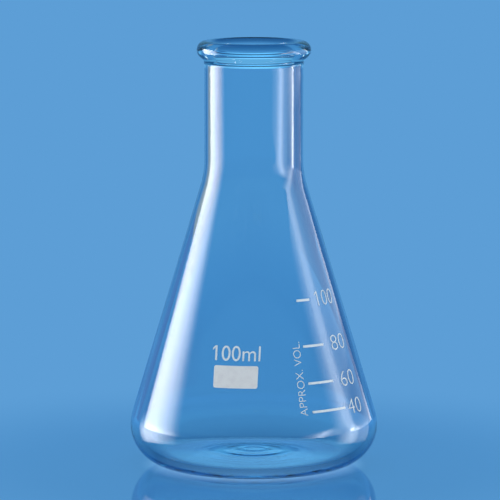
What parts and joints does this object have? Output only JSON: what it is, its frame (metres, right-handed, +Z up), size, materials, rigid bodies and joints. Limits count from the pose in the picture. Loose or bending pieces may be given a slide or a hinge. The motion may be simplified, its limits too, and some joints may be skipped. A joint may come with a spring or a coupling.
{
  "type": "erlenmeyer flask",
  "caption": "Conical laboratory flask of clear glass with a narrow beaded neck, a pushed-up flat base, white enamel graduation lines and a marking spot.",
  "frame": {"origin": "middle of the resting ring, on the table", "axes": "+Z up along the flask's axis, -Y towards the front with the print, +X to the right as seen from the front"},
  "size_m": [0.064, 0.064, 0.11],
  "materials": {
    "glass": "fire polished, clear",
    "enamel": "fired, satin"
  },
  "bodies": {
    "root": {"flask_body": "glass", "marking_spot": "enamel", "graduation_100": "enamel", "graduation_80": "enamel", "graduation_60": "enamel", "graduation_40": "enamel"}
  },
  "joints": []
}
